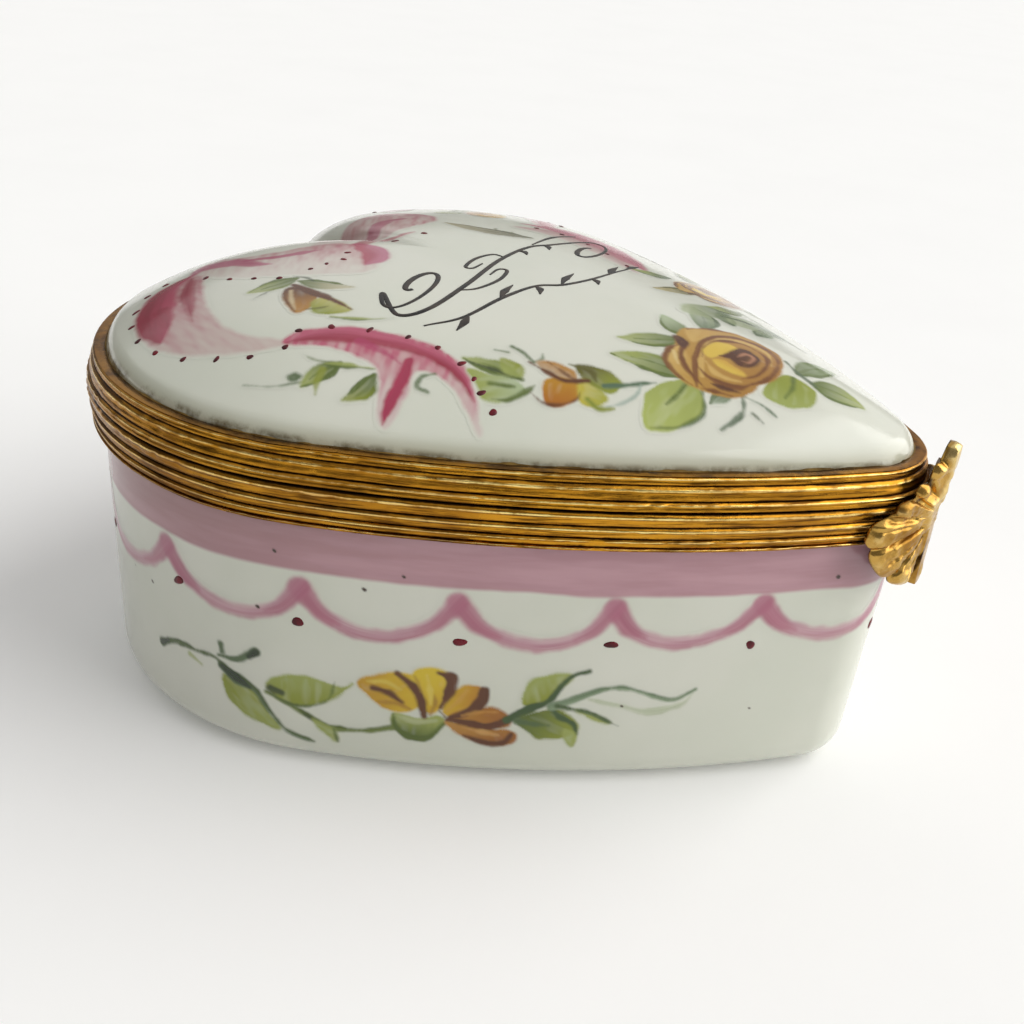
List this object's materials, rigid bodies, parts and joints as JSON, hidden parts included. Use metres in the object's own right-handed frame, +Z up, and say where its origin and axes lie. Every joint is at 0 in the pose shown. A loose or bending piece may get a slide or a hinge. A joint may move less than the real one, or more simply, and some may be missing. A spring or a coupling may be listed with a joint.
{
  "type": "porcelain trinket box",
  "caption": "Heart-shaped porcelain trinket box: painted bowl and domed lid in reeded brass bands, joined by a barrel hinge in the cleft and a snap clasp at the tip.",
  "frame": {"origin": "centre of the object's footprint, on the surface it stands on", "axes": "+Z up; +Y from the clasp at the heart's tip to the hinge in its cleft; +X across the heart"},
  "size_m": [0.0556, 0.0633, 0.0309],
  "materials": {
    "porcelain": "glossy clear glaze over hand-painted decoration",
    "brass": "worn gilt brass, dark patina in the grooves",
    "cement": "matt aged plaster",
    "pin_wire": "drawn brass wire"
  },
  "bodies": {
    "base": {"porcelain_base": "porcelain", "base_bezel": "brass", "base_cement": "cement", "base_hinge_plate": "brass", "base_knuckle_left": "brass", "base_knuckle_centre": "brass", "base_knuckle_right": "brass", "hinge_pin": "pin_wire", "catch_bead": "brass"},
    "lid": {"porcelain_lid": "porcelain", "lid_bezel": "brass", "lid_cement": "cement", "lid_hinge_plate": "brass", "lid_knuckle_left": "brass", "lid_knuckle_right": "brass", "clasp": "brass"}
  },
  "joints": [
    {"name": "lid_hinge", "type": "hinge", "parent": "base", "child": "lid", "pos_m": [0, 0.03045, 0.0228], "axis": [-1, 0, 0], "range_deg": [0, 100]}
  ]
}
